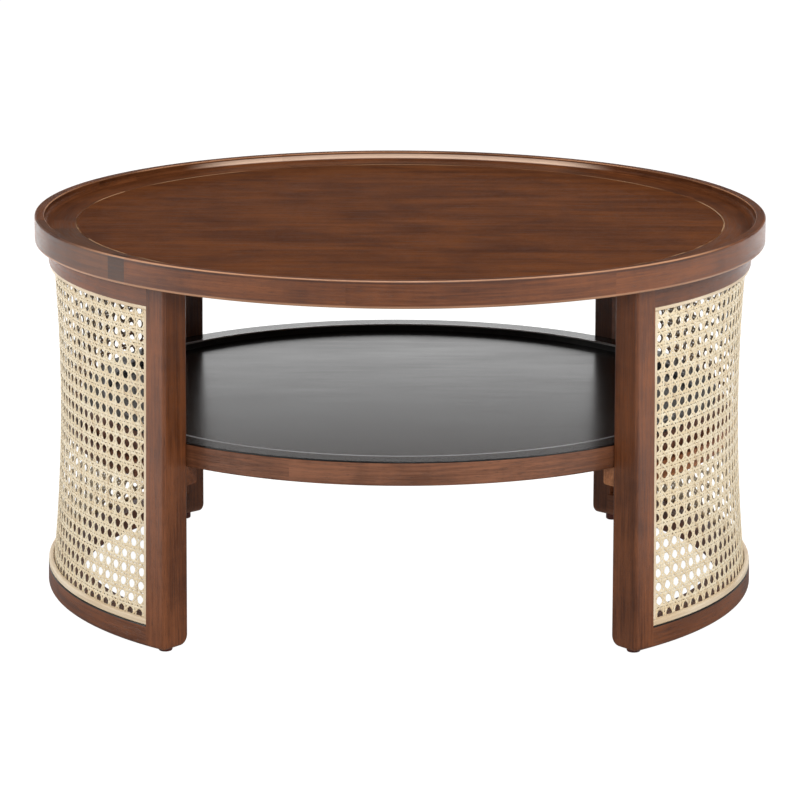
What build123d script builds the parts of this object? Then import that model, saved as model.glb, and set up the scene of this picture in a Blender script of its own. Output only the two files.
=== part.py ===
from build123d import *
import math
import os

# Round coffee table with two curved cane leg frames and a round shelf.
# Origin: on the floor under the centre of the top. +Z is up and -Y is the front.
# The leg frames stand at -X and +X.
# Lengths are millimetres. Angles are degrees round Z, counted from +X.

# Driving dimensions: the top
TOP_RADIUS = 450.0
TOTAL_HEIGHT = 474.0
RIM_HEIGHT = 32.0
LIP_WIDTH = 12.0
LIP_DEPTH = 11.0
PANEL_RADIUS = 399.0
PANEL_THICKNESS = 12.0
PANEL_LEDGE = 12.0
GROOVE_DEPTH = 0.9
RIM_LOWER_ROUND = 3.0
RIM_UPPER_ROUND = 2.0
LIP_INNER_ROUND = 1.2
LIP_COVE = 6.0

# Driving dimensions: the leg frames, which lean out slightly towards the floor
LEG_HALF_SPAN = 50.1
LEG_FORWARD_TURN = 0.9
LEG_OUTER_TOP = 433.0
LEG_OUTER_BOTTOM = 440.5
LEG_INNER_TOP = 394.0
LEG_INNER_BOTTOM = 397.0
POST_WIDTH = 29.5
TOP_RAIL_HEIGHT = 25.0
BOTTOM_RAIL_HEIGHT = 26.0
FOOT_HEIGHT = 8.0
LEG_INNER_ROUND = 12.0
LEG_OUTER_ROUND = 5.0
POST_EDGE_ROUND = 4.0
OPENING_EDGE_ROUND = 1.0
LEDGE_ROUND = 1.5

# Driving dimensions: the cane and the strips that frame it
CANE_INSET = 6.5
CANE_SAG = 8.0
CANE_THICKNESS = 2.0
REBATE_DEPTH = 8.7
REBATE_WIDTH = 5.0
STRIP_WIDTH = 5.0
STRIP_INSET = 1.2
BOTTOM_STRIP_HEIGHT = 8.0
BOTTOM_STRIP_INSET = 0.4
BOTTOM_STRIP_BEVEL = 1.5
BOTTOM_STRIP_ROUND = 2.5
BOTTOM_STRIP_BACK_ROUND = 1.0
TOP_STRIP_ROUND = 2.0

# Driving dimensions: the shelf
SHELF_RADIUS = 395.0
SHELF_TOP = 252.0
SHELF_HEIGHT = 29.0
SHELF_LIP_WIDTH = 30.0
SHELF_LIP_THICKNESS = 2.0
SHELF_LIP_OUTER_ROUND = 0.6
SHELF_LIP_INNER_ROUND = 0.9
SHELF_RECESS = 8.7
SHELF_BOARD_THICKNESS = 9.0
SHELF_LEDGE = 12.0
BEARER_INNER = 377.0
BEARER_OUTER = 412.0
BEARER_HEIGHT = 23.0
BEARER_END_SETBACK = 2.8
SHELF_RIM_LOWER_ROUND = 2.0
SHELF_RIM_UPPER_ROUND = 0.8
BEARER_ROUND = 3.0

# Driving dimensions: fixings and levelling feet
FIT_GAP = 0.05
SOFT_GAP = 0.3
DOWEL_RADIUS = 4.0
DOWEL_LENGTH = 30.0
BOLT_RADIUS = 3.0
BOLT_HOLE_RADIUS = 3.3
BOLT_CIRCLE = 413.0
BOLT_OFFSETS = (-38.0, 0.0, 38.0)
BOLT_HEAD_RADIUS = 5.0
BOLT_HEAD_HEIGHT = 6.0
BOLT_END_GAP = 1.0
SOCKET_RADIUS = 2.9
SOCKET_DEPTH = 3.0
WASHER_RADIUS = 7.0
WASHER_THICKNESS = 1.5
COUNTERBORE_RADIUS = 8.0
COUNTERBORE_DEPTH = 8.0
INSERT_WALL = 2.0
INSERT_LENGTH = 13.0
SCREW_RADIUS = 1.75
SCREW_HEAD_RADIUS = 3.4
SCREW_HEAD_HEIGHT = 2.2
SCREW_TIP = 3.0
PANEL_SCREW_COUNT = 8
PANEL_SCREW_LENGTH = 16.0
BEARER_SCREW_OFFSETS = (-30.0, 0.0, 30.0)
BEARER_SCREW_LENGTH = 38.0
FOOT_RADIUS = 8.3
FOOT_ANGLE = 47.2
FOOT_CIRCLE = 415.0
STUD_RADIUS = 3.0
STUD_LENGTH = 20.0
STUD_END_GAP = 2.0
PAD_HOLE_DEPTH = 6.0
PAD_LOWER_ROUND = 2.2
PAD_UPPER_ROUND = 0.5

# Glue joints between the curved blocks of the two rims. The top rim holds one short block.
TOP_RIM_JOINTS = (24.0, 66.0, 111.0, 152.0, 190.0, 220.9, 224.7, 262.0, 303.0, 341.0)
SHELF_RIM_JOINTS = (12.0, 75.0, 133.0, 197.0, 251.0, 318.0)

# Heights and angles worked out from the driving dimensions
RIM_BOTTOM = TOTAL_HEIGHT - RIM_HEIGHT
TOP_FLOOR = TOTAL_HEIGHT - LIP_DEPTH
PANEL_BOTTOM = TOP_FLOOR - PANEL_THICKNESS
PANEL_LEDGE_RADIUS = PANEL_RADIUS - PANEL_LEDGE
OPENING_TOP = RIM_BOTTOM - TOP_RAIL_HEIGHT
OPENING_BOTTOM = FOOT_HEIGHT + BOTTOM_RAIL_HEIGHT
LEDGE_TOP = OPENING_TOP - REBATE_WIDTH
LEDGE_BOTTOM = OPENING_BOTTOM + REBATE_WIDTH
POST_ANGLE = math.degrees(POST_WIDTH / LEG_OUTER_BOTTOM)
LEDGE_ANGLE = math.degrees(REBATE_WIDTH / LEG_OUTER_BOTTOM)
OPENING_HALF_SPAN = LEG_HALF_SPAN - POST_ANGLE
LEDGE_HALF_SPAN = OPENING_HALF_SPAN - LEDGE_ANGLE
SHELF_BOTTOM = SHELF_TOP - SHELF_HEIGHT
SHELF_LIP_BOTTOM = SHELF_TOP - SHELF_LIP_THICKNESS
SHELF_FLOOR = SHELF_TOP - SHELF_RECESS
SHELF_BOARD_BOTTOM = SHELF_FLOOR - SHELF_BOARD_THICKNESS
SHELF_INNER = SHELF_RADIUS - SHELF_LIP_WIDTH
SHELF_LEDGE_RADIUS = SHELF_INNER - SHELF_LEDGE
BEARER_BOTTOM = SHELF_BOTTOM - BEARER_HEIGHT
BEARER_HALF_SPAN = LEG_HALF_SPAN - math.degrees(BEARER_END_SETBACK / BEARER_INNER)

# The direction of each leg frame's middle, a little in front of the sides, and of each post from it
SIDES = {"right": -LEG_FORWARD_TURN, "left": 180.0 + LEG_FORWARD_TURN}
POSTS = {
    ("right", "front"): -1,
    ("right", "back"): 1,
    ("left", "front"): 1,
    ("left", "back"): -1,
}


def save(shape, node):
    export_step(shape, f"parts/{node}.step")


def leaning(bottom, top, z):
    """The radius at a height on a face that runs straight from the frame's foot to its top."""
    return bottom + (top - bottom) * (z - FOOT_HEIGHT) / (RIM_BOTTOM - FOOT_HEIGHT)


def face_point(z, inset=0.0):
    """A point set in from the leg frame's outer face."""
    return (leaning(LEG_OUTER_BOTTOM, LEG_OUTER_TOP, z) - inset, z)


def back_point(z):
    """A point on the leg frame's inner face."""
    return (leaning(LEG_INNER_BOTTOM, LEG_INNER_TOP, z), z)


def section(points, radii=0.0):
    """A closed outline of (radius, height) points. Each radius rounds the corner with the same number."""
    return make_face(FilletPolyline(*points, radius=radii, close=True))


def turned(outline, start, end):
    """An outline turned round Z from one angle to another."""
    return Rot(0, 0, start) * revolve(Plane.XZ * outline, Axis.Z, end - start)


def placed(radius, angle, shape):
    """A shape moved out from the axis and then turned to an angle."""
    return Rot(0, 0, angle) * Pos(radius, 0, 0) * shape


def bar(radius, low, high):
    """A round bar that stands between two heights."""
    return Pos(0, 0, (low + high) / 2) * Cylinder(radius, high - low)


def tube(outer_radius, inner_radius, low, high):
    return bar(outer_radius, low, high) - bar(inner_radius, low, high)


def wood_screw(low, length):
    """A countersunk screw that points up, with its head's face at the given height."""
    outline = section(
        [
            (0, low),
            (SCREW_HEAD_RADIUS, low),
            (SCREW_RADIUS, low + SCREW_HEAD_HEIGHT),
            (SCREW_RADIUS, low + length - SCREW_TIP),
            (0, low + length),
        ]
    )
    return revolve(Plane.XZ * outline, Axis.Z)


def widened_screw(low, length):
    """The hole that takes a wood screw, a running gap larger than it."""
    outline = section(
        [
            (0, low - FIT_GAP),
            (SCREW_HEAD_RADIUS + FIT_GAP, low - FIT_GAP),
            (SCREW_HEAD_RADIUS + FIT_GAP, low),
            (SCREW_RADIUS + FIT_GAP, low + SCREW_HEAD_HEIGHT),
            (SCREW_RADIUS + FIT_GAP, low + length + FIT_GAP),
            (0, low + length + FIT_GAP),
        ]
    )
    return revolve(Plane.XZ * outline, Axis.Z)


def spread(shape, radius, angles):
    """The same shape at every angle, as a list."""
    return [placed(radius, angle, shape) for angle in angles]


# Places of the fixings
BOLT_ANGLES = [middle + offset for middle in SIDES.values() for offset in BOLT_OFFSETS]
PANEL_SCREW_CIRCLE = PANEL_RADIUS - PANEL_LEDGE / 2
PANEL_SCREW_ANGLES = [(i + 0.5) * 360.0 / PANEL_SCREW_COUNT for i in range(PANEL_SCREW_COUNT)]
BEARER_SCREW_CIRCLE = (BEARER_INNER + SHELF_RADIUS) / 2
BEARER_SCREW_ANGLES = [middle + offset for middle in SIDES.values() for offset in BEARER_SCREW_OFFSETS]
RAIL_DOWEL_CIRCLES = (404.5, 425.5)
TOP_DOWEL_CIRCLES = (402.0, 422.0)
BEARER_DOWEL_CIRCLES = (403.5,)
DOWEL_HEIGHTS = {
    "top": (OPENING_TOP + RIM_BOTTOM) / 2,
    "bottom": (FOOT_HEIGHT + OPENING_BOTTOM) / 2,
    "bearer": (BEARER_BOTTOM + SHELF_BOTTOM) / 2,
}
DOWEL_CIRCLES = {"top": TOP_DOWEL_CIRCLES, "bottom": RAIL_DOWEL_CIRCLES, "bearer": BEARER_DOWEL_CIRCLES}
COUNTERBORE_TOP = LEDGE_TOP + COUNTERBORE_DEPTH
INSERT_TOP = RIM_BOTTOM + INSERT_LENGTH


def dowels(joint, side, end, gap=0.0):
    """The dowels of one joint between a rail and a post. They lie along the arc."""
    angle = SIDES[side] + end * (LEDGE_HALF_SPAN if joint == "bearer" else OPENING_HALF_SPAN)
    lying = Rot(90, 0, 0) * Cylinder(DOWEL_RADIUS + gap, DOWEL_LENGTH + 2 * gap)
    raised = Pos(0, 0, DOWEL_HEIGHTS[joint]) * lying
    return [placed(radius, angle, raised) for radius in DOWEL_CIRCLES[joint]]


def dowel_holes(joint, side):
    return [hole for end in (-1, 1) for hole in dowels(joint, side, end, FIT_GAP)]


def panel_screw_holes():
    """The holes in the rim's ledge and the panel's edge for the screws that hold the panel."""
    return spread(widened_screw(RIM_BOTTOM, PANEL_SCREW_LENGTH), PANEL_SCREW_CIRCLE, PANEL_SCREW_ANGLES)


def bearer_screw_holes():
    """The holes in the bearers and the shelf's rim for the screws that hold the shelf."""
    hole = widened_screw(BEARER_BOTTOM, BEARER_SCREW_LENGTH)
    return spread(hole, BEARER_SCREW_CIRCLE, BEARER_SCREW_ANGLES)


def top_panel():
    edge = PANEL_RADIUS - FIT_GAP
    outline = section(
        [
            (0, PANEL_BOTTOM),
            (edge, PANEL_BOTTOM),
            (edge, TOP_FLOOR - GROOVE_DEPTH),
            (edge - GROOVE_DEPTH, TOP_FLOOR),
            (0, TOP_FLOOR),
        ]
    )
    return revolve(Plane.XZ * outline, Axis.Z) - panel_screw_holes()


def top_rim_segment(start, end):
    """A curved block of the top's rim, with the raised lip and the ledge that carries the panel."""
    lip_inner = TOP_RADIUS - LIP_WIDTH
    outline = section(
        [
            (TOP_RADIUS, RIM_BOTTOM),
            (TOP_RADIUS, TOTAL_HEIGHT),
            (lip_inner, TOTAL_HEIGHT),
            (lip_inner, TOP_FLOOR),
            (PANEL_RADIUS + GROOVE_DEPTH, TOP_FLOOR),
            (PANEL_RADIUS, TOP_FLOOR - GROOVE_DEPTH),
            (PANEL_RADIUS, PANEL_BOTTOM),
            (PANEL_LEDGE_RADIUS, PANEL_BOTTOM),
            (PANEL_LEDGE_RADIUS, RIM_BOTTOM),
        ],
        (RIM_LOWER_ROUND, RIM_UPPER_ROUND, LIP_INNER_ROUND, LIP_COVE, 0, 0, 0, 0, 0),
    )
    inserts = spread(bar(BOLT_RADIUS + INSERT_WALL, RIM_BOTTOM, INSERT_TOP), BOLT_CIRCLE, BOLT_ANGLES)
    return turned(outline, start, end) - inserts - panel_screw_holes()


def top_rail(side):
    """The curved rail under the top, with a ledge behind the cane and counterbored bolt holes."""
    middle = SIDES[side]
    outline = section(
        [
            back_point(LEDGE_TOP),
            face_point(LEDGE_TOP, REBATE_DEPTH),
            face_point(OPENING_TOP, REBATE_DEPTH),
            face_point(OPENING_TOP),
            face_point(RIM_BOTTOM),
            back_point(RIM_BOTTOM),
        ],
        (LEDGE_ROUND, 0, 0, OPENING_EDGE_ROUND, 0, 0),
    )
    rail = turned(outline, middle - OPENING_HALF_SPAN, middle + OPENING_HALF_SPAN)
    bolt_angles = [middle + offset for offset in BOLT_OFFSETS]
    shanks = spread(bar(BOLT_HOLE_RADIUS, LEDGE_TOP, RIM_BOTTOM), BOLT_CIRCLE, bolt_angles)
    heads = spread(bar(COUNTERBORE_RADIUS, LEDGE_TOP, COUNTERBORE_TOP), BOLT_CIRCLE, bolt_angles)
    return rail - shanks - heads - dowel_holes("top", side)


def bottom_rail(side):
    middle = SIDES[side]
    outline = section(
        [
            back_point(FOOT_HEIGHT),
            face_point(FOOT_HEIGHT),
            face_point(OPENING_BOTTOM),
            face_point(OPENING_BOTTOM, REBATE_DEPTH),
            face_point(LEDGE_BOTTOM, REBATE_DEPTH),
            back_point(LEDGE_BOTTOM),
        ],
        (LEG_INNER_ROUND, LEG_OUTER_ROUND, OPENING_EDGE_ROUND, 0, 0, LEDGE_ROUND),
    )
    rail = turned(outline, middle - OPENING_HALF_SPAN, middle + OPENING_HALF_SPAN)
    return rail - dowel_holes("bottom", side)


def post(side, end):
    """A leg frame's end post, with rounded free edges and a ledge behind the cane's edge."""
    middle = SIDES[side]
    outline = section(
        [back_point(FOOT_HEIGHT), face_point(FOOT_HEIGHT), face_point(RIM_BOTTOM), back_point(RIM_BOTTOM)],
        (LEG_INNER_ROUND, LEG_OUTER_ROUND, 0, 0),
    )
    ledge_outline = section(
        [
            back_point(LEDGE_BOTTOM),
            face_point(LEDGE_BOTTOM, REBATE_DEPTH),
            face_point(LEDGE_TOP, REBATE_DEPTH),
            back_point(LEDGE_TOP),
        ]
    )
    spans = sorted((middle + end * OPENING_HALF_SPAN, middle + end * LEG_HALF_SPAN))
    ledge_spans = sorted((middle + end * OPENING_HALF_SPAN, middle + end * LEDGE_HALF_SPAN))
    body = turned(outline, *spans)
    free_side = Plane.XZ.rotated((0, 0, middle + end * LEG_HALF_SPAN))
    on_free_side = [edge for edge in body.edges() if abs(free_side.to_local_coords(edge.center()).Z) < 0.01]
    rounded = [edge for edge in on_free_side if edge.center().Z < RIM_BOTTOM - 1]
    body = fillet(rounded, POST_EDGE_ROUND) + turned(ledge_outline, *ledge_spans)
    holes = [hole for joint in DOWEL_HEIGHTS for hole in dowels(joint, side, end, FIT_GAP)]
    insert_hole = bar(STUD_RADIUS + INSERT_WALL, FOOT_HEIGHT, FOOT_HEIGHT + STUD_LENGTH)
    return body - holes - placed(FOOT_CIRCLE, middle + end * FOOT_ANGLE, insert_hole)


def cane_panel(side):
    """The woven sheet as one closed skin. It is pulled in at mid-height and lies flat on the ledges."""
    flat_low = OPENING_BOTTOM + SOFT_GAP
    flat_high = OPENING_TOP - SOFT_GAP
    middle_height = (LEDGE_BOTTOM + LEDGE_TOP) / 2

    def skin(extra):
        inset = CANE_INSET + extra
        low = face_point(LEDGE_BOTTOM, inset)
        waist = face_point(middle_height, inset + CANE_SAG)
        high = face_point(LEDGE_TOP, inset)
        return face_point(flat_low, inset), low, waist, high, face_point(flat_high, inset)

    front = skin(0.0)
    back = skin(CANE_THICKNESS)
    outline = make_face(
        [
            Line(front[0], front[1]),
            ThreePointArc(front[1], front[2], front[3]),
            Line(front[3], front[4]),
            Line(front[4], back[4]),
            Line(back[4], back[3]),
            ThreePointArc(back[3], back[2], back[1]),
            Line(back[1], back[0]),
            Line(back[0], front[0]),
        ]
    )
    half_span = LEDGE_HALF_SPAN - math.degrees(SOFT_GAP / LEG_INNER_TOP)
    return turned(outline, SIDES[side] - half_span, SIDES[side] + half_span)


def bottom_strip(side):
    """The wide strip that stands on the bottom rail in front of the cane's edge."""
    top = OPENING_BOTTOM + BOTTOM_STRIP_HEIGHT
    depth = CANE_INSET - SOFT_GAP
    outline = section(
        [
            face_point(OPENING_BOTTOM, depth),
            face_point(OPENING_BOTTOM, BOTTOM_STRIP_INSET + BOTTOM_STRIP_BEVEL),
            face_point(OPENING_BOTTOM + BOTTOM_STRIP_BEVEL, BOTTOM_STRIP_INSET),
            face_point(top, BOTTOM_STRIP_INSET),
            face_point(top, depth),
        ],
        (0, 0, 0, BOTTOM_STRIP_ROUND, BOTTOM_STRIP_BACK_ROUND),
    )
    half_span = OPENING_HALF_SPAN
    return turned(outline, SIDES[side] - half_span, SIDES[side] + half_span)


def top_strip(side):
    depth = CANE_INSET - SOFT_GAP
    low = OPENING_TOP - STRIP_WIDTH
    outline = section(
        [
            face_point(low, depth),
            face_point(low, STRIP_INSET),
            face_point(OPENING_TOP, STRIP_INSET),
            face_point(OPENING_TOP, depth),
        ],
        (0, TOP_STRIP_ROUND, 0, 0),
    )
    return turned(outline, SIDES[side] - OPENING_HALF_SPAN, SIDES[side] + OPENING_HALF_SPAN)


def side_strip(side, end):
    """The upright strip along a post, between the top strip and the bottom strip."""
    depth = CANE_INSET - SOFT_GAP
    low = OPENING_BOTTOM + BOTTOM_STRIP_HEIGHT
    high = OPENING_TOP - STRIP_WIDTH
    outline = section(
        [
            face_point(low, depth),
            face_point(low, STRIP_INSET),
            face_point(high, STRIP_INSET),
            face_point(high, depth),
        ]
    )
    width = math.degrees(STRIP_WIDTH / LEG_OUTER_BOTTOM)
    spans = sorted(SIDES[side] + end * limit for limit in (OPENING_HALF_SPAN, OPENING_HALF_SPAN - width))
    return turned(outline, *spans)


def shelf_bearer(side):
    """The curved rail between two posts that carries the shelf. Its inner half laps over the posts."""
    middle = SIDES[side]
    outline = section(
        [
            (BEARER_INNER, BEARER_BOTTOM),
            (BEARER_OUTER, BEARER_BOTTOM),
            (BEARER_OUTER, SHELF_BOTTOM),
            (BEARER_INNER, SHELF_BOTTOM),
        ],
        (BEARER_ROUND, BEARER_ROUND, 0, 0),
    )
    lap_outline = section(
        [
            (BEARER_INNER, BEARER_BOTTOM),
            back_point(BEARER_BOTTOM),
            back_point(SHELF_BOTTOM),
            (BEARER_INNER, SHELF_BOTTOM),
        ],
        (BEARER_ROUND, 0, 0, 0),
    )
    rail = turned(outline, middle - LEDGE_HALF_SPAN, middle + LEDGE_HALF_SPAN)
    rail += turned(lap_outline, middle - BEARER_HALF_SPAN, middle + BEARER_HALF_SPAN)
    return rail - bearer_screw_holes() - dowel_holes("bearer", side)


def shelf_rim_segment(start, end):
    """A curved block of the shelf's rim, with the ledge that carries the shelf board."""
    outline = section(
        [
            (SHELF_RADIUS, SHELF_BOTTOM),
            (SHELF_RADIUS, SHELF_LIP_BOTTOM),
            (SHELF_INNER, SHELF_LIP_BOTTOM),
            (SHELF_INNER, SHELF_BOARD_BOTTOM),
            (SHELF_LEDGE_RADIUS, SHELF_BOARD_BOTTOM),
            (SHELF_LEDGE_RADIUS, SHELF_BOTTOM),
        ],
        (SHELF_RIM_LOWER_ROUND, SHELF_RIM_UPPER_ROUND, 0, 0, 0, 0),
    )
    return turned(outline, start, end) - bearer_screw_holes()


def shelf_lip():
    outline = section(
        [
            (SHELF_RADIUS, SHELF_LIP_BOTTOM),
            (SHELF_RADIUS, SHELF_TOP),
            (SHELF_INNER, SHELF_TOP),
            (SHELF_INNER, SHELF_LIP_BOTTOM),
        ],
        (SHELF_LIP_OUTER_ROUND, SHELF_LIP_OUTER_ROUND, SHELF_LIP_INNER_ROUND, 0),
    )
    return revolve(Plane.XZ * outline, Axis.Z)


def shelf_board():
    thickness = SHELF_FLOOR - SHELF_BOARD_BOTTOM
    return Pos(0, 0, SHELF_BOARD_BOTTOM + thickness / 2) * Cylinder(SHELF_INNER - FIT_GAP, thickness)


def rail_bolt():
    """A socket-head bolt that points up from the counterbore into the rim's insert."""
    head_top = COUNTERBORE_TOP - WASHER_THICKNESS
    head = bar(BOLT_HEAD_RADIUS, head_top - BOLT_HEAD_HEIGHT, head_top)
    socket = Pos(0, 0, head_top - BOLT_HEAD_HEIGHT) * extrude(RegularPolygon(SOCKET_RADIUS, 6), SOCKET_DEPTH)
    return head + bar(BOLT_RADIUS, head_top, INSERT_TOP - BOLT_END_GAP) - socket


def foot_pad():
    """The round pad of a levelling foot, with a blind hole for its stud and a rounded lower edge."""
    outline = section(
        [
            (0, 0),
            (FOOT_RADIUS, 0),
            (FOOT_RADIUS, FOOT_HEIGHT - FIT_GAP),
            (STUD_RADIUS + FIT_GAP, FOOT_HEIGHT - FIT_GAP),
            (STUD_RADIUS + FIT_GAP, FOOT_HEIGHT - PAD_HOLE_DEPTH),
            (0, FOOT_HEIGHT - PAD_HOLE_DEPTH),
        ],
        (0, PAD_LOWER_ROUND, PAD_UPPER_ROUND, 0, 0, 0),
    )
    return revolve(Plane.XZ * outline, Axis.Z)


def foot_stud():
    low = FOOT_HEIGHT - PAD_HOLE_DEPTH
    return bar(STUD_RADIUS, low, FOOT_HEIGHT + STUD_LENGTH - STUD_END_GAP)


os.makedirs("parts", exist_ok=True)

save(top_panel(), "top_panel")
for number, start in enumerate(TOP_RIM_JOINTS):
    end = (TOP_RIM_JOINTS + (TOP_RIM_JOINTS[0] + 360.0,))[number + 1]
    save(top_rim_segment(start, end), f"top_rim_block_{number + 1:02d}")

for number, start in enumerate(SHELF_RIM_JOINTS):
    end = (SHELF_RIM_JOINTS + (SHELF_RIM_JOINTS[0] + 360.0,))[number + 1]
    save(shelf_rim_segment(start, end), f"shelf_rim_block_{number + 1}")
save(shelf_lip(), "shelf_lip")
save(shelf_board(), "shelf_board")

for side in SIDES:
    save(top_rail(side), f"{side}_top_rail")
    save(bottom_rail(side), f"{side}_bottom_rail")
    save(cane_panel(side), f"{side}_cane_panel")
    save(top_strip(side), f"{side}_cane_strip_top")
    save(bottom_strip(side), f"{side}_cane_strip_bottom")
    save(shelf_bearer(side), f"{side}_shelf_bearer")

foot_angles = {}
for (side, place), end in POSTS.items():
    save(post(side, end), f"{side}_{place}_post")
    save(side_strip(side, end), f"{side}_cane_strip_{place}")
    foot_angles[side, place] = SIDES[side] + end * FOOT_ANGLE
    save(placed(FOOT_CIRCLE, foot_angles[side, place], foot_pad()), f"{side}_{place}_foot_pad")
    save(placed(FOOT_CIRCLE, foot_angles[side, place], foot_stud()), f"{side}_{place}_foot_stud")

rail_dowels = []
bearer_dowels = []
for (side, _), end in POSTS.items():
    rail_dowels += dowels("top", side, end) + dowels("bottom", side, end)
    bearer_dowels += dowels("bearer", side, end)
save(Compound(rail_dowels), "rail_dowels")
save(Compound(bearer_dowels), "bearer_dowels")

panel_screw = wood_screw(RIM_BOTTOM, PANEL_SCREW_LENGTH)
bearer_screw = wood_screw(BEARER_BOTTOM, BEARER_SCREW_LENGTH)
washer = tube(WASHER_RADIUS, BOLT_HOLE_RADIUS, COUNTERBORE_TOP - WASHER_THICKNESS, COUNTERBORE_TOP)
rim_insert = tube(BOLT_RADIUS + INSERT_WALL, BOLT_RADIUS + FIT_GAP, RIM_BOTTOM, INSERT_TOP)
foot_insert = tube(
    STUD_RADIUS + INSERT_WALL, STUD_RADIUS + FIT_GAP, FOOT_HEIGHT, FOOT_HEIGHT + STUD_LENGTH
)
save(Compound(spread(panel_screw, PANEL_SCREW_CIRCLE, PANEL_SCREW_ANGLES)), "panel_screws")
save(Compound(spread(bearer_screw, BEARER_SCREW_CIRCLE, BEARER_SCREW_ANGLES)), "bearer_screws")
save(Compound(spread(rail_bolt(), BOLT_CIRCLE, BOLT_ANGLES)), "rail_bolts")
save(Compound(spread(washer, BOLT_CIRCLE, BOLT_ANGLES)), "bolt_washers")
save(Compound(spread(rim_insert, BOLT_CIRCLE, BOLT_ANGLES)), "rim_inserts")
save(Compound(spread(foot_insert, FOOT_CIRCLE, foot_angles.values())), "foot_inserts")
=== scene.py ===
import math
from collections import namedtuple

import bpy
import numpy as np
from mathutils import Matrix, Vector


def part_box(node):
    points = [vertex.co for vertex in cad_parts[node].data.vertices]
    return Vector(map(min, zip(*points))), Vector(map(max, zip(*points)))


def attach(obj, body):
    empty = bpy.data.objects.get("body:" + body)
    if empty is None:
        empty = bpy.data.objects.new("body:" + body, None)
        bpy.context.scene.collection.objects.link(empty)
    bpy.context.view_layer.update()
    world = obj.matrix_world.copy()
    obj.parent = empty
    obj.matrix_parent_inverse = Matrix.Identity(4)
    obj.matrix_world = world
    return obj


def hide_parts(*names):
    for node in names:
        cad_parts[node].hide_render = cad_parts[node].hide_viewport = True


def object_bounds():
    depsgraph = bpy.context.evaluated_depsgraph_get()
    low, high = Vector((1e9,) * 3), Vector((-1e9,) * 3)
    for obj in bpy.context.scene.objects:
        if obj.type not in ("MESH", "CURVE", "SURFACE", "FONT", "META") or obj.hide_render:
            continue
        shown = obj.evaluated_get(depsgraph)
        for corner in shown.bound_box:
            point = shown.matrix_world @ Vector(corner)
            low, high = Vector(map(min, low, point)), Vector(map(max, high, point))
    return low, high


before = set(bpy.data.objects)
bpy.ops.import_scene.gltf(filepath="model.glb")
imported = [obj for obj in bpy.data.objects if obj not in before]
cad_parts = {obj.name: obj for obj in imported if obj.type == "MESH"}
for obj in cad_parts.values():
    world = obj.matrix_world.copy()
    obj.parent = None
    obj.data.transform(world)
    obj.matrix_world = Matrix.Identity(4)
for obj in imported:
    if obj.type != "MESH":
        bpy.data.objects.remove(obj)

cad_low, cad_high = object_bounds()

# Driving dimensions of the cane and the rim's lip, in metres. The rest is worked out from the frame's boxes.
HOLE_PITCH_ALONG = 0.01662
HOLE_PITCH_UP = 0.01665
FIRST_HOLE_RISE = 0.0012
STRAND_WIDTH = 0.0032
DIAGONAL_WIDTH = 0.0026
WIDTH_SPREAD = 0.06
PLACE_SPREAD = 0.0001
STRAND_THICKNESS = 0.0006
WEAVE_LIFT = 0.0003
DIAGONAL_LIFT = 0.00045
CANE_DEPTH = 0.0075
CANE_SAG = 0.0080
LIP_WIDTH = 0.012

# How far each strand of a pair lies from the pair's middle, as a share of the hole pitch
PAIR_HALF_GAP = 0.115

# The corners of a strand's section, as shares of its width and its thickness
SECTION = np.array([(0.5, 0.0), (0.3, 0.5), (-0.3, 0.5), (-0.5, 0.0), (-0.3, -0.5), (0.3, -0.5)])

# Camera: its place in metres, its turns in radians, its lens and sensor in millimetres
CAMERA_PLACE = (-0.0163, -4.614, 1.311)
CAMERA_PITCH = 0.2296
CAMERA_YAW = 0.00366
CAMERA_ROLL = 0.00337
CAMERA_LENS = 170.6
SENSOR_WIDTH = 36.0

# Each area light: its place, the point it faces, its width and height in metres, and its power in watts
TABLE_MIDDLE = (0.0, 0.0, 0.25)
CARD_HEIGHT = 0.63
LIGHTS = {
    "overhead": ((0.0, 0.3, 2.8), TABLE_MIDDLE, 1.5, 1.1, 33.0),
    "left_box": ((-2.8, -0.2, 1.4), TABLE_MIDDLE, 1.6, 1.8, 43.0),
    "right_box": ((2.4, -1.5, 2.3), TABLE_MIDDLE, 1.6, 1.8, 48.0),
    "front_fill": ((0.5, -4.0, 2.3), TABLE_MIDDLE, 2.4, 1.5, 80.0),
    "back_card": ((0.0, 1.6, CARD_HEIGHT / 2), (0.0, 0.0, CARD_HEIGHT / 2), 3.6, CARD_HEIGHT, 10.5),
}

# What the room gives off: to the camera it is all white, and to everything else it is dim
ROOM_GLOW = 0.14
FLOOR_GLOW = 0.42
FLOOR_HALF = 30.0
FLOOR_DARK = (0.20, 0.20, 0.20, 1.0)
FLOOR_LIGHT = (0.22, 0.22, 0.22, 1.0)

# What reflections add to the floor's glow in front of the table, on each side of it and behind it, and where
# the changes between them start and end
SIDE_START, SIDE_END = 0.55, 0.95
REAR_START, REAR_END = 0.2, 1.0
FRONT_MIRRORED = -0.3
SIDE_MIRRORED = 0.85
REAR_MIRRORED = 0.4

# The rim is matt inside its outer face: how far in that starts, the width it takes, its specular level, and
# how much darker the stain is there
MATT_INSET = 0.001
MATT_EDGE = 0.002
MATT_LEVEL = 0.05
MATT_SHADE = 0.42

# A seed slides the wood's figure along a piece by this many metres, so that no two pieces match. Each kind
# of piece counts its seeds on from its own first one.
GRAIN_STEP = 0.731
PANEL_SEED = 1
RIM_SEED = 3
SHELF_SEED = 17
LEG_SEED = 30
DOWEL_SEED = 60

random = np.random.default_rng(11)

# A mark on a finish shows where all its bands meet, at a share that varies from weakest to strongest. A band
# lies within reach of its middle, on the axis "out", "y" or "z".
Band = namedtuple("Band", "axis middle reach")
Mark = namedtuple("Mark", "bands weakest strongest colour")


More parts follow.
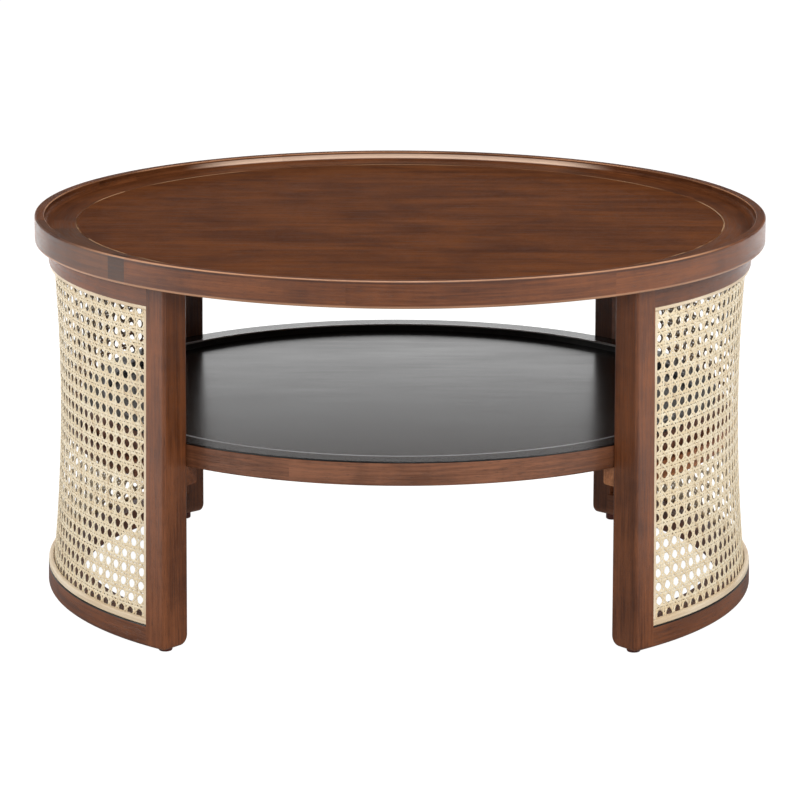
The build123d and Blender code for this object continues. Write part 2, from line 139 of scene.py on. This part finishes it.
def linear(red, green, blue):
    """A colour given as ordinary 0 to 255 numbers, for a shader."""
    parts = [(part / 255.0 / 12.92) if part <= 10 else ((part / 255.0 + 0.055) / 1.055) ** 2.4
             for part in (red, green, blue)]
    return (*parts, 1.0)


class Finish:
    """A material put together node by node round one Principled shader."""

    def __init__(self, name):
        self.material = bpy.data.materials.new(name)
        self.material.use_nodes = True
        self.tree = self.material.node_tree
        self.tree.nodes.clear()
        self.shader = self.tree.nodes.new("ShaderNodeBsdfPrincipled")
        output = self.tree.nodes.new("ShaderNodeOutputMaterial")
        self.tree.links.new(self.shader.outputs["BSDF"], output.inputs["Surface"])

    def plug(self, socket, value):
        """Sets an input to a value, or links it if the value is another node's output."""
        if isinstance(value, bpy.types.NodeSocket):
            self.tree.links.new(value, socket)
        else:
            socket.default_value = value

    def set(self, **values):
        """Sets the shader's inputs. An underscore in a name stands for a space."""
        for name, value in values.items():
            self.plug(self.shader.inputs[name.replace("_", " ")], value)

    def maths(self, operation, first, second=0.0):
        made = self.tree.nodes.new("ShaderNodeMath")
        made.operation = operation
        self.plug(made.inputs[0], first)
        self.plug(made.inputs[1], second)
        return made.outputs[0]

    def split(self, vector):
        made = self.tree.nodes.new("ShaderNodeSeparateXYZ")
        self.plug(made.inputs[0], vector)
        return made.outputs

    def join(self, x, y, z):
        made = self.tree.nodes.new("ShaderNodeCombineXYZ")
        for socket, value in zip(made.inputs, (x, y, z)):
            self.plug(socket, value)
        return made.outputs[0]

    def object_place(self):
        return self.tree.nodes.new("ShaderNodeTexCoord").outputs["Object"]

    def noise(self, place, scale, detail=3.0, roughness=0.55, warp=0.0):
        """Noise with its own number of cells a metre along each axis."""
        stretched = self.tree.nodes.new("ShaderNodeVectorMath")
        stretched.operation = "MULTIPLY"
        self.plug(stretched.inputs[0], place)
        stretched.inputs[1].default_value = scale
        made = self.tree.nodes.new("ShaderNodeTexNoise")
        self.plug(made.inputs["Vector"], stretched.outputs[0])
        made.inputs["Scale"].default_value = 1.0
        made.inputs["Detail"].default_value = detail
        made.inputs["Roughness"].default_value = roughness
        made.inputs["Distortion"].default_value = warp
        return made.outputs["Fac"]

    def span(self, value, low, high, to_low=0.0, to_high=1.0):
        """Turns the range low..high smoothly into another range, and holds its ends."""
        made = self.tree.nodes.new("ShaderNodeMapRange")
        made.interpolation_type = "SMOOTHSTEP"
        self.plug(made.inputs["Value"], value)
        made.inputs["From Min"].default_value = low
        made.inputs["From Max"].default_value = high
        made.inputs["To Min"].default_value = to_low
        made.inputs["To Max"].default_value = to_high
        return made.outputs["Result"]

    def mix(self, factor, first, second):
        """Two colours mixed. A Mix node's colour sockets come after those of its other data types."""
        made = self.tree.nodes.new("ShaderNodeMix")
        made.data_type = "RGBA"
        self.plug(made.inputs[0], factor)
        self.plug(made.inputs[6], first)
        self.plug(made.inputs[7], second)
        return made.outputs[2]

    def bump(self, height, distance):
        made = self.tree.nodes.new("ShaderNodeBump")
        made.inputs["Strength"].default_value = 1.0
        made.inputs["Distance"].default_value = distance
        self.plug(made.inputs["Height"], height)
        self.plug(self.shader.inputs["Normal"], made.outputs[0])

    def weighed(self, *parts):
        """The sum of (weight, value) parts."""
        shares = [self.maths("MULTIPLY", value, weight) for weight, value in parts]
        total = shares[0]
        for share in shares[1:]:
            total = self.maths("ADD", total, share)
        return total

    def ring_place(self, flipped):
        """(angle times the frame's radius, distance from the axis, height). A flipped one counts from -X."""
        x, y, z = self.split(self.object_place())
        if flipped:
            x = self.maths("MULTIPLY", x, -1.0)
            y = self.maths("MULTIPLY", y, -1.0)
        along = self.maths("MULTIPLY", self.maths("ARCTAN2", y, x), FACE_RADIUS)
        squares = self.maths("ADD", self.maths("MULTIPLY", x, x), self.maths("MULTIPLY", y, y))
        return along, self.maths("POWER", squares, 0.5), z

    def marked(self, colour, marks, mark_variation):
        """Lays marks over a colour: where the finish is rubbed thin, worn or painted over, and painted
        highlights and painted shade.
        """
        _, y, z = self.split(self.object_place())
        axes = {"out": self.ring_place(False)[1], "y": y, "z": z}
        for mark in marks:
            share = self.span(mark_variation, 0.42, 0.58, mark.weakest, mark.strongest)
            for band in mark.bands:
                away = self.maths("ABSOLUTE", self.maths("SUBTRACT", axes[band.axis], band.middle))
                share = self.maths("MULTIPLY", self.span(away, band.reach * 0.5, band.reach, 1.0, 0.0), share)
            colour = self.mix(share, colour, mark.colour)
        return colour


# Places worked out from the frame
_, rail_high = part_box("right_bottom_rail")
top_rail_low, top_rail_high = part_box("right_top_rail")
bottom_strip_low, bottom_strip_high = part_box("right_cane_strip_bottom")
_, top_strip_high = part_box("right_cane_strip_top")
panel_low, panel_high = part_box("right_cane_panel")
rim_low, rim_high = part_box("top_rim_block_10")
leg_low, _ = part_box("right_front_post")
_, shelf_board_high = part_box("shelf_board")
_, shelf_lip_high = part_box("shelf_lip")
_, top_panel_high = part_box("top_panel")

FACE_RADIUS = panel_high.x - CANE_DEPTH
SEAM_RADIUS = top_panel_high.x
RIM_RADIUS = cad_high.x
LIP_INNER = RIM_RADIUS - LIP_WIDTH
OUTER_BOTTOM = rail_high.x
OUTER_TOP = top_rail_high.x
CANE_BACK_END = math.asin(panel_high.y / panel_high.x)
CANE_FRONT_END = math.asin(-panel_low.y / panel_high.x)
CANE_HALF_SPAN = (CANE_FRONT_END + CANE_BACK_END) / 2
FORWARD_TURN = (CANE_FRONT_END - CANE_BACK_END) / 2
SIDES = {"right": -FORWARD_TURN, "left": math.pi + FORWARD_TURN}
LEDGE_BOTTOM = rail_high.z
LEDGE_TOP = top_rail_low.z
FIRST_PAIR_HEIGHT = bottom_strip_high.z + FIRST_HOLE_RISE - HOLE_PITCH_UP / 2


def face_radius(height):
    """The radius of the leg frame's outer face, which leans out towards the floor."""
    share = (height - leg_low.z) / (top_strip_high.z - leg_low.z)
    return OUTER_BOTTOM + (OUTER_TOP - OUTER_BOTTOM) * share


def cane_points(middle, along, height, lift):
    """Points on the cane sheet, which is pulled in at mid-height."""
    share = np.clip((height - LEDGE_BOTTOM) / (LEDGE_TOP - LEDGE_BOTTOM), 0.0, 1.0)
    radius = face_radius(height) - CANE_DEPTH - CANE_SAG * 4 * share * (1 - share) + lift
    angle = middle + along / FACE_RADIUS
    return np.stack([radius * np.cos(angle), radius * np.sin(angle), height], axis=1)


class StrandMesh:
    """Collects flat strands swept along lines on the cane sheet into one mesh."""

    def __init__(self, middle):
        self.middle = middle
        self.points = []
        self.faces = []
        self.uvs = []
        self.count = 0

    def add(self, along, height, lift, width):
        """One closed strand. Each strand gets a row of its own in the UV layer, with its length along U."""
        line = cane_points(self.middle, along, height, lift)
        tangent = np.gradient(line, axis=0)
        tangent /= np.linalg.norm(tangent, axis=1, keepdims=True)
        angle = self.middle + along / FACE_RADIUS
        outward = np.stack([np.cos(angle), np.sin(angle), np.zeros_like(angle)], axis=1)
        outward -= (outward * tangent).sum(axis=1, keepdims=True) * tangent
        outward /= np.linalg.norm(outward, axis=1, keepdims=True)
        across = np.cross(tangent, outward)
        rings = [line + across * width * x + outward * STRAND_THICKNESS * y for x, y in SECTION]
        ring_points = np.stack(rings, axis=1).reshape(-1, 3)
        start = self.count
        self.points.append(ring_points)
        self.count += len(ring_points)
        sides = len(SECTION)
        travelled = np.concatenate([[0.0], np.cumsum(np.linalg.norm(np.diff(line, axis=0), axis=1))])
        row = random.uniform(0, 1000)
        travelled += random.uniform(0, 10)
        for i in range(len(line) - 1):
            for k in range(sides):
                after = (k + 1) % sides
                low = start + i * sides
                high = low + sides
                self.faces.append((low + k, low + after, high + after, high + k))
                here, there = row + k / sides, row + (k + 1) / sides
                self.uvs.extend([(travelled[i], here), (travelled[i], there),
                                 (travelled[i + 1], there), (travelled[i + 1], here)])
        first = tuple(start + k for k in reversed(range(sides)))
        last = tuple(start + (len(line) - 1) * sides + k for k in range(sides))
        for cap, place in ((first, travelled[0]), (last, travelled[-1])):
            self.faces.append(cap)
            self.uvs.extend([(place, row)] * sides)

    def make(self, name, material, side):
        mesh = bpy.data.meshes.new(name)
        mesh.from_pydata(np.concatenate(self.points).tolist(), [], self.faces)
        layer = mesh.uv_layers.new(name="strand")
        layer.data.foreach_set("uv", np.array(self.uvs, dtype=np.float32).ravel())
        mesh.polygons.foreach_set("use_smooth", [len(face) == 4 for face in self.faces])
        mesh.materials.append(material)
        mesh.update()
        piece = bpy.data.objects.new(name, mesh)
        bpy.context.scene.collection.objects.link(piece)
        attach(piece, "table")
        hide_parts(f"{side}_cane_panel")


# The weave is laid out in steps of one hole. The middles of the pairs lie on whole numbers.
ALONG_LIMIT = CANE_HALF_SPAN * FACE_RADIUS / HOLE_PITCH_ALONG
UP_LOW = (panel_low.z - FIRST_PAIR_HEIGHT) / HOLE_PITCH_UP
UP_HIGH = (panel_high.z - FIRST_PAIR_HEIGHT) / HOLE_PITCH_UP


def odd_eighths(low, high):
    """The crossings along a straight strand: every odd eighth of a step, and just past both ends."""
    start = math.floor(low * 4) - 1
    return (np.arange(start, math.ceil(high * 4) + 2) + 0.5) / 4


def straight_lift(number, steps):
    """How far a straight strand stands out: over or under where it crosses, and level between pairs."""
    eighth = np.rint(steps * 8).astype(int)
    crossing = np.rint(steps).astype(int) * 2 + (eighth % 8 == 1)
    near_pair = (eighth % 8 == 1) | (eighth % 8 == 7)
    return np.where(near_pair, np.where((number + crossing) % 2 == 0, WEAVE_LIFT, -WEAVE_LIFT), 0.0)


def pair_numbers(low, high):
    """(number, place) of every strand of the pairs between two limits."""
    for pair in range(math.ceil(low), math.floor(high) + 1):
        for second in (0, 1):
            place = pair + (PAIR_HALF_GAP if second else -PAIR_HALF_GAP)
            if low < place < high:
                yield pair * 2 + second, place


def trimmed(steps, low, high):
    """Which samples to keep so that a strand ends at its limits."""
    inside = np.flatnonzero((steps > low) & (steps < high))
    return slice(max(inside[0] - 1, 0), inside[-1] + 2)


def weave_cane(side, middle, material):
    """One cane sheet as four pieces: its uprights, its levels, and the diagonals that rise and fall."""
    def jitter():
        return random.normal(0.0, PLACE_SPREAD)

    def width(base):
        return base * random.uniform(1 - WIDTH_SPREAD, 1 + WIDTH_SPREAD)

    upright = StrandMesh(middle)
    for number, place in pair_numbers(-ALONG_LIMIT, ALONG_LIMIT):
        steps = odd_eighths(UP_LOW, UP_HIGH)
        keep = trimmed(steps, UP_LOW, UP_HIGH)
        lift = straight_lift(number, steps)[keep]
        height = FIRST_PAIR_HEIGHT + np.clip(steps[keep], UP_LOW, UP_HIGH) * HOLE_PITCH_UP
        along = np.full_like(height, place * HOLE_PITCH_ALONG + jitter())
        upright.add(along, height, lift, width(STRAND_WIDTH))
    upright.make(f"{side}_cane_uprights", material, side)

    level = StrandMesh(middle)
    for number, place in pair_numbers(UP_LOW, UP_HIGH):
        steps = odd_eighths(-ALONG_LIMIT, ALONG_LIMIT)
        keep = trimmed(steps, -ALONG_LIMIT, ALONG_LIMIT)
        lift = -straight_lift(number, steps)[keep]
        along = np.clip(steps[keep], -ALONG_LIMIT, ALONG_LIMIT) * HOLE_PITCH_ALONG
        height = np.full_like(along, FIRST_PAIR_HEIGHT + place * HOLE_PITCH_UP + jitter())
        level.add(along, height, lift, width(STRAND_WIDTH))
    level.make(f"{side}_cane_levels", material, side)

    for slope, name in ((1, "rising"), (-1, "falling")):
        sloping = StrandMesh(middle)
        reach = math.ceil(ALONG_LIMIT + UP_HIGH) + 1
        for line in range(-reach, reach + 1):
            start = line + 0.5
            ends = sorted(((UP_LOW - start) * slope, (UP_HIGH - start) * slope))
            low = max(ends[0], -ALONG_LIMIT)
            high = min(ends[1], ALONG_LIMIT)
            if high - low < 0.5:
                continue
            steps = np.arange(math.floor(low * 8), math.ceil(high * 8) + 1) / 8
            lift = slope * DIAGONAL_LIFT * np.clip(1.5 * np.cos(2 * math.pi * steps), -1.0, 1.0)
            steps = np.clip(steps, low, high)
            apart = np.concatenate([[True], np.diff(steps) > 0.01])
            steps, lift = steps[apart], lift[apart]
            height = FIRST_PAIR_HEIGHT + (start + slope * steps) * HOLE_PITCH_UP
            sloping.add(steps * HOLE_PITCH_ALONG + jitter(), height, lift, width(DIAGONAL_WIDTH))
        sloping.make(f"{side}_cane_{name}", material, side)


def cane_finish():
    """Split rattan: pale, slightly glossy strands of many tones, with fine fibres and dark growth rings."""
    finish = Finish("cane_strand")
    uv = finish.tree.nodes.new("ShaderNodeUVMap")
    uv.uv_map = "strand"
    place = uv.outputs[0]
    strand_tone = finish.noise(place, (0.8, 0.37, 1.0), detail=1.0)
    patch = finish.noise(place, (25.0, 0.2, 1.0), detail=2.0)
    fibre = finish.noise(place, (60.0, 22.0, 1.0), detail=3.0)
    node = finish.span(finish.noise(place, (9.0, 0.31, 1.0), detail=0.0), 0.70, 0.74)
    tone = finish.weighed((0.5, strand_tone), (0.3, patch), (0.2, fibre))
    colour = finish.mix(finish.span(tone, 0.34, 0.66), linear(234, 211, 171), linear(254, 241, 212))
    colour = finish.mix(finish.maths("MULTIPLY", node, 0.35), colour, linear(160, 118, 72))
    finish.set(Base_Color=colour, Roughness=finish.span(fibre, 0.3, 0.7, 0.38, 0.52))
    finish.set(Coat_Weight=0.15, Coat_Roughness=0.3)
    finish.bump(fibre, 0.00008)
    return finish.material


def strip_finish(name, upright):
    """Pale rattan spline with fibres along its length."""
    finish = Finish(name)
    along, out, z = finish.ring_place(False)
    if upright:
        along, z = z, along
    place = finish.join(along, out, z)
    patch = finish.noise(place, (9.0, 60.0, 60.0), detail=2.0)
    fibre = finish.noise(place, (22.0, 1500.0, 1500.0), detail=3.0)
    tone = finish.weighed((0.6, patch), (0.4, fibre))
    colour = finish.mix(finish.span(tone, 0.35, 0.65), linear(220, 194, 158), linear(244, 226, 198))
    finish.set(Base_Color=colour, Roughness=finish.span(fibre, 0.3, 0.7, 0.42, 0.58))
    finish.set(Coat_Weight=0.1, Coat_Roughness=0.35)
    finish.bump(fibre, 0.00006)
    return finish.material


def wood_finish(name, grain, seed, light, dark, flipped=False, marks=(), shine=0.34, matt=0.46, level=0.5,
                matt_within=None):
    """Stained wood. The grain runs along X on a "board", round the axis in a "ring", or "upright".

    Inside the radius matt_within the stain is darker and doesn't shine."""
    finish = Finish(name)
    along, out, z = finish.ring_place(flipped)
    x, y, _ = finish.split(finish.object_place())
    ways = {"board": (x, y, z), "ring": (along, out, z), "upright": (z, out, along)}
    lengthwise, across, through = ways[grain]
    place = finish.join(finish.maths("ADD", lengthwise, seed * GRAIN_STEP), across, through)
    cloud = finish.noise(place, (7.0, 13.0, 13.0), detail=3.0, warp=0.6)
    figure = finish.noise(place, (4.0, 60.0, 60.0), detail=5.0, roughness=0.6, warp=0.3)
    streak = finish.noise(place, (14.0, 380.0, 380.0), detail=4.0, roughness=0.65)
    shimmer = finish.noise(place, (60.0, 16.0, 16.0), detail=3.0, roughness=0.6, warp=0.4)
    fleck = finish.noise(place, (90.0, 2100.0, 2100.0), detail=2.0)
    mark_variation = finish.noise(place, (5.0, 20.0, 20.0), detail=2.0)
    tone = finish.weighed((0.32, cloud), (0.26, figure), (0.34, streak), (0.08, shimmer))
    colour = finish.mix(finish.span(tone, 0.38, 0.62), dark, light)
    pores = finish.span(fleck, 0.56, 0.70)
    colour = finish.mix(finish.maths("MULTIPLY", pores, 0.45), colour, linear(28, 14, 9))
    if matt_within is not None:
        matt_start = matt_within - MATT_EDGE
        shade = finish.span(out, matt_start, matt_within, MATT_SHADE, 0.0)
        colour = finish.mix(shade, colour, linear(22, 12, 7))
        level = finish.span(out, matt_start, matt_within, MATT_LEVEL, level)
    colour = finish.marked(colour, marks, mark_variation)
    finish.set(Base_Color=colour, Roughness=finish.span(streak, 0.3, 0.7, shine, matt))
    finish.set(Specular_IOR_Level=level)
    finish.bump(finish.weighed((0.6, streak), (-0.9, pores)), 0.00012)
    return finish.material


def lacquer_finish(name, marks=()):
    """Black satin lacquer over a brushed board."""
    finish = Finish(name)
    place = finish.object_place()
    streak = finish.noise(place, (6.0, 420.0, 420.0), detail=4.0, roughness=0.6)
    cloud = finish.noise(place, (5.0, 12.0, 12.0), detail=3.0)
    speck = finish.noise(place, (420.0, 900.0, 900.0), detail=1.0)
    tone = finish.weighed((0.6, streak), (0.4, cloud))
    colour = finish.mix(finish.span(tone, 0.35, 0.65), linear(5, 5, 5), linear(17, 16, 16))
    finish.set(Base_Color=finish.marked(colour, marks, cloud))
    finish.set(Roughness=finish.span(tone, 0.35, 0.65, 0.21, 0.26), Specular_IOR_Level=0.5)
    finish.bump(finish.weighed((0.7, streak), (0.3, speck)), 0.00003)
    return finish.material


def metal_finish(name, colour, roughness):
    """Bare metal with dull patches, finely drawn along Z."""
    finish = Finish(name)
    place = finish.object_place()
    grain = finish.noise(place, (900.0, 900.0, 250.0), detail=3.0)
    stain = finish.noise(place, (120.0, 120.0, 120.0), detail=2.0)
    dull = tuple(part * 0.6 for part in colour[:3]) + (1.0,)
    finish.set(Base_Color=finish.mix(finish.span(stain, 0.4, 0.65), colour, dull), Metallic=1.0)
    finish.set(Roughness=finish.span(grain, 0.3, 0.7, roughness, roughness + 0.15))
    finish.bump(grain, 0.00003)
    return finish.material


def plastic_finish():
    """Moulded plastic feet in a reddish brown, with a fine texture."""
    finish = Finish("foot_plastic_brown")
    place = finish.object_place()
    texture = finish.noise(place, (2600.0, 2600.0, 2600.0), detail=2.0)
    patch = finish.noise(place, (160.0, 160.0, 160.0), detail=2.0)
    finish.set(Base_Color=finish.mix(finish.span(patch, 0.35, 0.65), linear(82, 34, 24), linear(112, 52, 38)))
    finish.set(Roughness=finish.span(texture, 0.3, 0.7, 0.42, 0.6))
    finish.bump(texture, 0.00005)
    return finish.material


def dress(node, material):
    """Gives every face of a CAD node one material."""
    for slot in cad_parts[node].material_slots:
        slot.material = material


# Colours of the marks, and the two tones of each kind of wood
RUBBED_AND_HIGHLIT = linear(200, 148, 112)
BACK_WALL_HIGHLIGHT = linear(228, 196, 172)
SEAM_TAN = linear(206, 170, 132)
LIP_HIGHLIGHT_GREY = linear(176, 176, 178)
BLACK = linear(10, 8, 8)
EDGE_SHADE_UMBER = linear(52, 24, 10)
WARM_LIGHT, WARM_DARK = linear(133, 76, 40), linear(84, 42, 17)
GREY_LIGHT, GREY_DARK = linear(122, 76, 48), linear(76, 43, 25)
SHORT_LIGHT, SHORT_DARK = linear(82, 51, 33), linear(54, 32, 20)
SHELF_LIGHT, SHELF_DARK = linear(150, 96, 66), linear(98, 58, 36)
# The right bearer is painted paler, as painted light where light falls on it
LIT_BEARER_LIGHT, LIT_BEARER_DARK = linear(206, 140, 94), linear(150, 94, 58)
TOP_LIGHT, TOP_DARK = linear(104, 57, 25), linear(66, 32, 12)

# The marks on the top: painted highlights along the rim's edges, which are partly rubbed edges, a painted
# highlight on the lip's back wall, a painted shade line under the front edge, and the seam. FRONT and BACK
# keep a mark to that side of the table and fade it out.
FRONT = Band("y", -RIM_RADIUS, 0.25)
BACK = Band("y", RIM_RADIUS, 0.12)
SEAM = Mark((Band("out", SEAM_RADIUS, 0.0012),), 0.05, 0.6, SEAM_TAN)
# Painted highlights that are partly rubbed edges: pale lines along the rim's lower edge, its front top edge
# and the lip's inner edge
RIM_LOW_EDGE = Mark((Band("z", rim_low.z, 0.0040),), 0.6, 0.9, RUBBED_AND_HIGHLIT)
RIM_FRONT_EDGE = Mark(
    (Band("z", rim_high.z, 0.0014), Band("out", RIM_RADIUS, 0.0044), FRONT), 0.6, 0.9, RUBBED_AND_HIGHLIT
)
# Painted shade: a dark line just under the front edge's painted highlight, at the front only
SHADE_UNDER_EDGE = Mark(
    (Band("z", rim_high.z - 0.0026, 0.0014), Band("out", RIM_RADIUS, 0.0005), FRONT), 0.5, 0.8, EDGE_SHADE_UMBER
)
LIP_INNER_EDGE = Mark((Band("z", rim_high.z, 0.0018), Band("out", LIP_INNER, 0.0011)), 0.2, 0.6, RUBBED_AND_HIGHLIT)
# A painted highlight: a pale band at the foot of the lip's inner wall, at the back only
LIP_BACK_HIGHLIGHT = Mark(
    (Band("z", rim_high.z - 0.0056, 0.0036), Band("out", LIP_INNER, 0.0044), BACK), 0.9, 1.0, BACK_WALL_HIGHLIGHT
)
RIM_MARKS = (RIM_LOW_EDGE, RIM_FRONT_EDGE, SHADE_UNDER_EDGE, LIP_INNER_EDGE, LIP_BACK_HIGHLIGHT, SEAM)

# The painted shadow line between a bottom rail and its strip, the lacquer on the shelf rim's inner wall, and
# the painted highlight along the inner edge of the shelf's lip
JOINT_SHADOW = Mark(
    (Band("z", bottom_strip_low.z, 0.0016), Band("out", OUTER_BOTTOM, 0.0200)), 1.0, 1.0, BLACK
)
PAINTED_WALL = Mark((Band("out", shelf_board_high.x, 0.002),), 1.0, 1.0, BLACK)
SHELF_LIP_HIGHLIGHT = Mark(
    (Band("out", shelf_board_high.x + 0.0015, 0.0046), Band("z", shelf_lip_high.z, 0.0020)),
    0.9, 1.0, LIP_HIGHLIGHT_GREY,
)

# The wood's two tones, where a piece differs from the rest of its kind. The right bearer's paler tones are
# painted light, standing in for light that falls on it.
OTHER_TONES = {
    "top_rim_block_05": (GREY_LIGHT, GREY_DARK),
    "top_rim_block_06": (SHORT_LIGHT, SHORT_DARK),
    "right_shelf_bearer": (LIT_BEARER_LIGHT, LIT_BEARER_DARK),
}


def tones_of(node):
    return OTHER_TONES.get(node, (WARM_LIGHT, WARM_DARK))


def ring_blocks(start):
    """(number, node, whether it lies on the left) of each block of a ring, in order."""
    nodes = sorted(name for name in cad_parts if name.startswith(start))
    for number, node in enumerate(nodes, 1):
        low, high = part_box(node)
        yield number, node, (low.x + high.x) < 0


def dress_top():
    dress("top_panel", wood_finish("top_panel_wood", "board", PANEL_SEED, TOP_LIGHT, TOP_DARK,
                                   marks=(SEAM,), level=0.03, shine=0.42, matt=0.56))
    for number, node, flipped in ring_blocks("top_rim_block"):
        dress(node, wood_finish(f"{node}_wood", "ring", number + RIM_SEED, *tones_of(node), flipped=flipped,
                                marks=RIM_MARKS, matt_within=RIM_RADIUS - MATT_INSET))


def dress_shelf():
    for number, node, flipped in ring_blocks("shelf_rim_block"):
        dress(node, wood_finish(f"{node}_wood", "ring", number + SHELF_SEED, SHELF_LIGHT, SHELF_DARK,
                                flipped=flipped, marks=(PAINTED_WALL,)))
    dress("shelf_lip", lacquer_finish("black_satin_lip", marks=(SHELF_LIP_HIGHLIGHT,)))
    dress("shelf_board", lacquer_finish("black_satin"))


def dress_legs():
    """The two leg frames, with their strips and their woven cane."""
    cane = cane_finish()
    level_strip = strip_finish("cane_strip_round", False)
    upright_strip = strip_finish("cane_strip_upright", True)
    for seed, (side, middle) in enumerate(SIDES.items(), LEG_SEED):
        flipped = side == "left"
        for place in ("front", "back"):
            node = f"{side}_{place}_post"
            seed += 2
            dress(node, wood_finish(f"{node}_wood", "upright", seed, *tones_of(node), flipped=flipped))
            dress(f"{side}_cane_strip_{place}", upright_strip)
        for part in ("top_rail", "bottom_rail", "shelf_bearer"):
            node = f"{side}_{part}"
            seed += 3
            dress(node, wood_finish(f"{node}_wood", "ring", seed, *tones_of(node), flipped=flipped,
                                    marks=(JOINT_SHADOW,)))
        for part in ("top", "bottom"):
            dress(f"{side}_cane_strip_{part}", level_strip)
        weave_cane(side, middle, cane)


def dress_fixings():
    """The feet, screws, bolts, washers, inserts and dowels."""
    steel = metal_finish("zinc_plated_steel", (0.62, 0.63, 0.65, 1.0), 0.28)
    brass = metal_finish("brass_insert", (0.72, 0.55, 0.25, 1.0), 0.3)
    beech = wood_finish("beech_dowel", "upright", DOWEL_SEED, linear(214, 178, 132), linear(188, 148, 102))
    feet = plastic_finish()
    finishes = {"_foot_pad": feet, "_foot_stud": steel, "_screws": steel, "_bolts": steel, "_washers": steel,
                "_inserts": brass, "_dowels": beech}
    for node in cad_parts:
        for ending, material in finishes.items():
            if node.endswith(ending):
                dress(node, material)


def area_light(name, place, target, width, height, power):
    """A rectangular light that the camera doesn't see."""
    light = bpy.data.lights.new(name, "AREA")
    light.shape = "RECTANGLE"
    light.size = width
    light.size_y = height
    light.energy = power
    lamp = bpy.data.objects.new(name, light)
    bpy.context.scene.collection.objects.link(lamp)
    lamp.visible_camera = False
    lamp.location = place
    lamp.rotation_euler = (Vector(target) - Vector(place)).to_track_quat("-Z", "Y").to_euler()


def make_world():
    """A dim white room that looks bright white to the camera."""
    world = bpy.data.worlds.new("studio")
    world.use_nodes = True
    nodes, links = world.node_tree.nodes, world.node_tree.links
    sight = nodes.new("ShaderNodeLightPath")
    seen = nodes.new("ShaderNodeMix")
    links.new(sight.outputs["Is Camera Ray"], seen.inputs["Factor"])
    seen.inputs["A"].default_value = ROOM_GLOW
    seen.inputs["B"].default_value = 1.0
    links.new(seen.outputs["Result"], nodes["Background"].inputs["Strength"])
    nodes["Background"].inputs["Color"].default_value = (1.0, 1.0, 1.0, 1.0)
    bpy.context.scene.world = world


def floor_finish():
    """Grey to the light that falls on it, plain white to the camera, and uneven in reflections."""
    finish = Finish("studio_floor")
    shade = finish.noise(finish.object_place(), (0.6, 0.6, 0.6), detail=1.0)
    finish.set(Base_Color=finish.mix(shade, FLOOR_DARK, FLOOR_LIGHT), Roughness=0.9, Specular_IOR_Level=0.0)
    sight = finish.tree.nodes.new("ShaderNodeLightPath")
    x, y, _ = finish.split(finish.object_place())
    beside = finish.span(finish.maths("ABSOLUTE", x), SIDE_START, SIDE_END, FRONT_MIRRORED, SIDE_MIRRORED)
    change = finish.maths("SUBTRACT", REAR_MIRRORED, beside)
    behind = finish.maths("MULTIPLY", finish.span(y, REAR_START, REAR_END), change)
    mirrored = finish.maths("MULTIPLY", sight.outputs["Is Glossy Ray"], finish.maths("ADD", beside, behind))
    seen = finish.span(sight.outputs["Is Camera Ray"], 0.0, 1.0, FLOOR_GLOW, 1.0)
    finish.set(Emission_Color=(1.0, 1.0, 1.0, 1.0), Emission_Strength=finish.maths("ADD", seen, mirrored))
    return finish.material


def make_floor():
    corners = [(x * FLOOR_HALF, y * FLOOR_HALF, 0) for x, y in ((-1, -1), (1, -1), (1, 1), (-1, 1))]
    mesh = bpy.data.meshes.new("floor")
    mesh.from_pydata(corners, [], [(0, 1, 2, 3)])
    mesh.materials.append(floor_finish())
    floor = bpy.data.objects.new("floor", mesh)
    bpy.context.scene.collection.objects.link(floor)


def make_camera():
    data = bpy.data.cameras.new("camera")
    data.sensor_width = SENSOR_WIDTH
    data.lens = CAMERA_LENS
    made = bpy.data.objects.new("camera", data)
    bpy.context.scene.collection.objects.link(made)
    forward = Vector((
        math.sin(CAMERA_YAW) * math.cos(CAMERA_PITCH),
        math.cos(CAMERA_YAW) * math.cos(CAMERA_PITCH),
        -math.sin(CAMERA_PITCH),
    ))
    right = Vector((math.cos(CAMERA_YAW), -math.sin(CAMERA_YAW), 0.0))
    up = right.cross(forward)
    rolled_right = right * math.cos(CAMERA_ROLL) + up * math.sin(CAMERA_ROLL)
    rolled_up = up * math.cos(CAMERA_ROLL) - right * math.sin(CAMERA_ROLL)
    turn = Matrix((rolled_right, rolled_up, -forward)).transposed()
    made.matrix_world = Matrix.Translation(CAMERA_PLACE) @ turn.to_4x4()
    data.clip_end = 100.0
    bpy.context.scene.camera = made


dress_top()
dress_shelf()
dress_legs()
dress_fixings()

bpy.context.scene.view_settings.view_transform = "Standard"
make_world()
make_floor()
for light_name, light in LIGHTS.items():
    area_light(light_name, *light)
make_camera()
